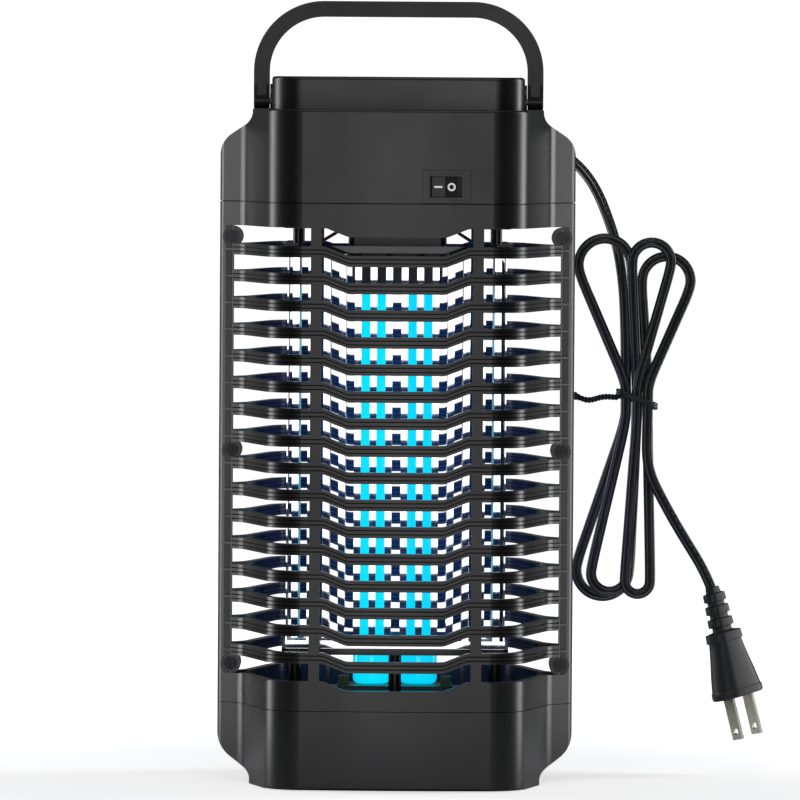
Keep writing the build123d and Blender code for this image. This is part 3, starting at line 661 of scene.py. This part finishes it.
def ribShading():
    # painted shade at the bottoms of the two grooves along every guard rib, and at the seam under the cover: a
    # mask that lowers the specular level there
    lengths = {label: value * mm for label, value in guardGrooves.items()}
    tree, enter, leave = nodeGroup("paintedGrooveShade", lengths, {"Groove Shade": "NodeSocketFloat"})
    given = enter.outputs
    where = addNode(tree, "ShaderNodeSeparateXYZ", {0: addNode(tree, "ShaderNodeTexCoord").outputs["Object"]})
    aside = addNode(tree, "ShaderNodeMath", {0: where.outputs["X"]}, operation="ABSOLUTE")
    sunk = addNode(tree, "ShaderNodeMapRange", {"Value": aside.outputs[0], "To Max": 0.0,
                                               "From Min": given["Dip Inner"], "To Min": given["Dip"],
                                               "From Max": given["Dip Outer"]})
    level = addNode(tree, "ShaderNodeMath", {0: where.outputs["Z"], 1: sunk.outputs[0]}, operation="ADD")
    below = addNode(tree, "ShaderNodeMath", {0: level.outputs[0], 1: given["First"]}, operation="SUBTRACT")
    half = addNode(tree, "ShaderNodeMath", {0: given["Pitch"], 1: 0.5}, operation="MULTIPLY")
    under = addNode(tree, "ShaderNodeMath", {0: half.outputs[0], 1: -1.0}, operation="MULTIPLY")
    within = addNode(tree, "ShaderNodeMath", {0: below.outputs[0], 1: half.outputs[0], 2: under.outputs[0]},
                     operation="WRAP")
    off = addNode(tree, "ShaderNodeMath", {0: within.outputs[0]}, operation="ABSOLUTE")
    line = addNode(tree, "ShaderNodeMath", {0: off.outputs[0], 1: given["Offset"], 2: given["Half"]},
                   operation="COMPARE")
    ribs = addNode(tree, "ShaderNodeMath", {0: level.outputs[0], 1: given["Middle"], 2: given["Reach"]},
                   operation="COMPARE")
    front = addNode(tree, "ShaderNodeMath", {0: aside.outputs[0], 1: given["Wide"]}, operation="LESS_THAN")
    here = addNode(tree, "ShaderNodeMath", {0: ribs.outputs[0], 1: front.outputs[0]}, operation="MULTIPLY")
    both = addNode(tree, "ShaderNodeMath", {0: line.outputs[0], 1: here.outputs[0]}, operation="MULTIPLY")
    seam = addNode(tree, "ShaderNodeMath", {0: where.outputs["Z"], 1: given["Seam"], 2: given["Half"]},
                   operation="COMPARE")
    either = addNode(tree, "ShaderNodeMath", {0: both.outputs[0], 1: seam.outputs[0]}, operation="MAXIMUM")
    tree.links.new(either.outputs[0], leave.inputs["Groove Shade"])
    return tree


def endSleeve():
    # where the electrode rails sit in their black insulating edge, at the top of the cage
    tree, enter, leave = nodeGroup("endSleeve", {"From": sleeveStart * mm}, {"Sleeve": "NodeSocketFloat"})
    where = addNode(tree, "ShaderNodeSeparateXYZ", {0: addNode(tree, "ShaderNodeTexCoord").outputs["Object"]})
    above = addNode(tree, "ShaderNodeMath", {0: where.outputs["Z"], 1: enter.outputs["From"]},
                    operation="GREATER_THAN")
    tree.links.new(above.outputs[0], leave.inputs["Sleeve"])
    return tree


mouldedSkin = moulding()
paintedGrooveShade = ribShading()
railSleeve = endSleeve()
settledDust = dusting()
drawnLines = drawing()
print("stage: shader groups")

# finishes


def newMaterial(name):
    material = bpy.data.materials.new(name)
    material.use_nodes = True
    tree = material.node_tree
    return material, tree, tree.nodes["Principled BSDF"]


def placeGroup(tree, group, values):
    node = tree.nodes.new("ShaderNodeGroup")
    node.node_tree = group
    for label, value in values.items():
        node.inputs[label].default_value = (*value, 1) if isinstance(value, tuple) else value
    return node


def bumpFrom(tree, height, distance, shader, strength=1.0):
    bump = addNode(tree, "ShaderNodeBump", {"Height": height, "Distance": distance, "Strength": strength})
    tree.links.new(bump.outputs[0], shader.inputs["Normal"])
    return bump


plastics = {  # colour, paler colour, rough low and high, grain scale, grain depth in mm, dust
    "housing_plastic": ((0.011, 0.0115, 0.0125), (0.015, 0.0155, 0.0165), 0.23, 0.31, 1500, 0.006, 0.05),
    "tray_plastic": ((0.011, 0.0115, 0.0125), (0.015, 0.0155, 0.0165), 0.23, 0.31, 1500, 0.006, 0.04),
    "handle_plastic": ((0.013, 0.0135, 0.0145), (0.018, 0.0185, 0.0195), 0.32, 0.42, 1100, 0.008, 0.06),
    "switch_plastic": ((0.012, 0.012, 0.0125), (0.016, 0.016, 0.0165), 0.26, 0.34, 1400, 0.004, 0.04),
    "holder_plastic": ((0.010, 0.010, 0.011), (0.014, 0.014, 0.015), 0.18, 0.28, 900, 0.004, 0.08),
    "plug_vinyl": ((0.017, 0.018, 0.021), (0.025, 0.026, 0.030), 0.36, 0.48, 1300, 0.010, 0.05),
    "lamp_cap": ((0.013, 0.013, 0.014), (0.018, 0.018, 0.019), 0.24, 0.34, 700, 0.006, 0.05),
    "component_dark": ((0.018, 0.018, 0.020), (0.028, 0.028, 0.030), 0.40, 0.52, 900, 0.010, 0.05),
    "component_tan": ((0.46, 0.33, 0.18), (0.55, 0.41, 0.25), 0.36, 0.50, 800, 0.010, 0.05),
    "capacitor_blue": ((0.02, 0.06, 0.24), (0.03, 0.09, 0.32), 0.25, 0.36, 800, 0.006, 0.05),
    "wire_red": ((0.42, 0.015, 0.012), (0.52, 0.022, 0.018), 0.38, 0.50, 800, 0.006, 0.05),
}

metals = {  # colour, duller colour, rough low and high, lines
    "steel": ((0.60, 0.61, 0.62), (0.48, 0.48, 0.49), 0.22, 0.36, 240),
    "grid_steel": ((0.90, 0.90, 0.93), (0.82, 0.83, 0.87), 0.04, 0.09, 120),
    "black_screw": ((0.045, 0.045, 0.050), (0.030, 0.030, 0.033), 0.34, 0.46, 180),
    "brass": ((0.78, 0.74, 0.66), (0.66, 0.62, 0.55), 0.16, 0.30, 260),
}


def plasticFinish(name, facts, grooveShaded=False):
    colour, pale, roughLow, roughHigh, grainScale, grainDepth, dust = facts
    material, tree, shader = newMaterial(name)
    skin = placeGroup(tree, mouldedSkin, {"Colour": colour, "Pale Colour": pale, "Grain Scale": float(grainScale),
                                          "Rough Low": roughLow, "Rough High": roughHigh})
    settled = placeGroup(tree, settledDust, {"Amount": dust})
    dusted = addNode(tree, "ShaderNodeMix", data_type="RGBA")
    mixColours(tree, dusted, settled.outputs["Dust"], skin.outputs["Colour"], (0.30, 0.29, 0.27, 1))
    tree.links.new(dusted.outputs[2], shader.inputs["Base Color"])
    tree.links.new(skin.outputs["Roughness"], shader.inputs["Roughness"])
    bumpFrom(tree, skin.outputs["Grain"], grainDepth * mm, shader, 0.6)
    # painted shade: the specular level drops in the guard ribs' grooves and in the seam under the cover
    if grooveShaded:
        grooveShadeMask = placeGroup(tree, paintedGrooveShade, {})
        shadedSpecular = addNode(tree, "ShaderNodeMapRange", {"Value": grooveShadeMask.outputs["Groove Shade"],
                                                    "To Min": 0.5, "To Max": 0.08})
        tree.links.new(shadedSpecular.outputs[0], shader.inputs["Specular IOR Level"])
    return material


def metalFinish(name, facts, sleeved=False):
    colour, dull, roughLow, roughHigh, lines = facts
    material, tree, shader = newMaterial(name)
    drawn = placeGroup(tree, drawnLines, {"Colour": colour, "Dull Colour": dull, "Lines": float(lines),
                                          "Rough Low": roughLow, "Rough High": roughHigh})
    shader.inputs["Metallic"].default_value = 1.0
    tree.links.new(drawn.outputs["Colour"], shader.inputs["Base Color"])
    tree.links.new(drawn.outputs["Roughness"], shader.inputs["Roughness"])
    bumpFrom(tree, drawn.outputs["Lines"], 0.001 * mm, shader, 0.2)
    if sleeved:
        sleeve = placeGroup(tree, railSleeve, {}).outputs["Sleeve"]
        covered = addNode(tree, "ShaderNodeMix", data_type="RGBA")
        mixColours(tree, covered, sleeve, drawn.outputs["Colour"], (0.010, 0.010, 0.011, 1))
        bare = addNode(tree, "ShaderNodeMath", {0: 1.0, 1: sleeve}, operation="SUBTRACT")
        tree.links.new(covered.outputs[2], shader.inputs["Base Color"])
        tree.links.new(bare.outputs[0], shader.inputs["Metallic"])
    return material


def litGlass(name):
    # fluorescent coating behind the glass, a little darker towards each edge
    material, tree, shader = newMaterial(name)
    edge = addNode(tree, "ShaderNodeLayerWeight", {"Blend": 0.35})
    where = addNode(tree, "ShaderNodeTexCoord").outputs["Object"]
    cloud = addNode(tree, "ShaderNodeTexNoise", {"Vector": where, "Scale": 22.0, "Detail": 2.0})
    glow = addNode(tree, "ShaderNodeMix", data_type="RGBA")
    mixColours(tree, glow, cloud.outputs["Fac"], (0.0, 0.66, 0.95, 1), (0.0, 0.86, 1.0, 1))
    edged = addNode(tree, "ShaderNodeMix", data_type="RGBA")
    mixColours(tree, edged, edge.outputs["Facing"], glow.outputs[2], (0.0, 0.50, 0.80, 1))
    side = addNode(tree, "ShaderNodeSeparateXYZ", {0: where})
    right = addNode(tree, "ShaderNodeMapRange", {"Value": side.outputs["X"],
                                                "From Min": -0.004, "From Max": 0.004})
    both = addNode(tree, "ShaderNodeMix", data_type="RGBA", blend_type="MULTIPLY")
    mixColours(tree, both, right.outputs[0], edged.outputs[2], (1.0, 0.90, 1.0, 1))
    tree.links.new(both.outputs[2], shader.inputs["Emission Color"])
    shader.inputs["Emission Strength"].default_value = 1.0
    shader.inputs["Base Color"].default_value = (0.05, 0.20, 0.24, 1)
    rough = addNode(tree, "ShaderNodeMapRange", {"Value": cloud.outputs["Fac"], "To Min": 0.04, "To Max": 0.12})
    tree.links.new(rough.outputs[0], shader.inputs["Roughness"])
    return material


def boardFinish(name):
    # green mask over copper tracks
    material, tree, shader = newMaterial(name)
    where = addNode(tree, "ShaderNodeTexCoord").outputs["Object"]
    tracks = addNode(tree, "ShaderNodeTexBrick", {"Vector": where, "Scale": 140.0, "Mortar Size": 0.035,
                                                 "Color1": (0.012, 0.075, 0.028, 1),
                                                 "Color2": (0.016, 0.095, 0.034, 1),
                                                 "Mortar": (0.035, 0.17, 0.06, 1)})
    weave = addNode(tree, "ShaderNodeTexNoise", {"Vector": where, "Scale": 1200.0, "Detail": 1.0})
    rough = addNode(tree, "ShaderNodeMapRange", {"Value": weave.outputs["Fac"], "To Min": 0.25, "To Max": 0.42})
    tree.links.new(tracks.outputs["Color"], shader.inputs["Base Color"])
    tree.links.new(rough.outputs[0], shader.inputs["Roughness"])
    bumpFrom(tree, tracks.outputs["Fac"], 0.03 * mm, shader, 0.6)
    return material


def windingFinish(name):
    # turns of enamelled copper wire
    material, tree, shader = newMaterial(name)
    where = addNode(tree, "ShaderNodeTexCoord").outputs["Object"]
    turns = addNode(tree, "ShaderNodeTexWave", {"Vector": where, "Scale": 420.0, "Distortion": 0.6},
                    bands_direction="X")
    tint = addNode(tree, "ShaderNodeMix", data_type="RGBA")
    mixColours(tree, tint, turns.outputs["Fac"], (0.20, 0.055, 0.02, 1), (0.55, 0.20, 0.07, 1))
    rough = addNode(tree, "ShaderNodeMapRange", {"Value": turns.outputs["Fac"], "To Min": 0.45, "To Max": 0.22})
    tree.links.new(tint.outputs[2], shader.inputs["Base Color"])
    tree.links.new(rough.outputs[0], shader.inputs["Roughness"])
    shader.inputs["Metallic"].default_value = 0.7
    bumpFrom(tree, turns.outputs["Fac"], 0.15 * mm, shader, 0.8)
    return material


def paintAndGlowFinish(name):
    # pad-printed white marks, worn thin in places, with a painted glow that makes them read brighter
    material, tree, shader = newMaterial(name)
    where = addNode(tree, "ShaderNodeTexCoord").outputs["Object"]
    worn = addNode(tree, "ShaderNodeTexNoise", {"Vector": where, "Scale": 1700.0, "Detail": 3.0})
    tint = addNode(tree, "ShaderNodeMix", data_type="RGBA")
    mixColours(tree, tint, worn.outputs["Fac"], (0.86, 0.86, 0.86, 1), (0.96, 0.96, 0.96, 1))
    rough = addNode(tree, "ShaderNodeMapRange", {"Value": worn.outputs["Fac"], "To Min": 0.4, "To Max": 0.6})
    tree.links.new(tint.outputs[2], shader.inputs["Base Color"])
    tree.links.new(rough.outputs[0], shader.inputs["Roughness"])
    bumpFrom(tree, worn.outputs["Fac"], 0.01 * mm, shader, 0.5)
    # painted light: the marks glow faintly white, though they are no lamp
    shader.inputs["Emission Color"].default_value = (1, 1, 1, 1)
    shader.inputs["Emission Strength"].default_value = 0.4
    return material


def cordFinish(name):
    # shiny black vinyl with faint dashes moulded along one wire
    material, tree, shader = newMaterial(name)
    skin = placeGroup(tree, mouldedSkin, {"Colour": (0.028, 0.029, 0.031), "Pale Colour": (0.040, 0.041, 0.044),
                                          "Grain Scale": 1600.0, "Flow Scale": 60.0,
                                          "Rough Low": 0.14, "Rough High": 0.24})
    laid = addNode(tree, "ShaderNodeUVMap", uv_map="laidUv")
    split = addNode(tree, "ShaderNodeSeparateXYZ", {0: laid.outputs[0]})
    along = addNode(tree, "ShaderNodeMath", {0: split.outputs["X"], 1: 18.0}, operation="MULTIPLY")
    dash = addNode(tree, "ShaderNodeMath", {0: along.outputs[0]}, operation="SINE")
    onWire = addNode(tree, "ShaderNodeMath", {0: split.outputs["Y"], 1: 0.14, 2: 0.05}, operation="COMPARE")
    raised = addNode(tree, "ShaderNodeMath", {0: dash.outputs[0], 1: onWire.outputs[0]}, operation="MULTIPLY")
    height = addNode(tree, "ShaderNodeMath", {0: raised.outputs[0], 1: 8.0, 2: skin.outputs["Grain"]},
                     operation="MULTIPLY_ADD")
    tree.links.new(skin.outputs["Colour"], shader.inputs["Base Color"])
    tree.links.new(skin.outputs["Roughness"], shader.inputs["Roughness"])
    bumpFrom(tree, height.outputs[0], 0.012 * mm, shader, 0.8)
    return material


finishes = {name: plasticFinish(name, facts) for name, facts in plastics.items()}
finishes.update({name: metalFinish(name, facts, name == "grid_steel") for name, facts in metals.items()})
# the housing plastic again, with painted shade in the guards' grooves and in the seam under the cover
guardPlasticGrooveShaded = plasticFinish("guard_plastic_groove_shaded", plastics["housing_plastic"], grooveShaded=True)
finishes["lamp_glass"] = litGlass("lamp_glass")
finishes["board_green"] = boardFinish("board_green")
finishes["winding"] = windingFinish("winding")
finishes["mark_paint"] = paintAndGlowFinish("mark_paint")
finishes["lead_vinyl"] = cordFinish("lead_vinyl")

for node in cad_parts.values():
    for slot in node.material_slots:
        plain = slot.material.name.split(".")[0]
        # the guards take the copy with the painted groove shade
        if node.name in ("front_grille", "rear_grille"):
            slot.material = guardPlasticGrooveShaded
        elif plain in finishes:
            slot.material = finishes[plain]
        else:
            print("no finish for", node.name, slot.material.name)

for piece, finish in ((supply, "lead_vinyl"), (tieWire, "plug_vinyl"), (plug, "plug_vinyl")):
    piece.data.materials.clear()
    piece.data.materials.append(finishes[finish])
print("stage: finishes")
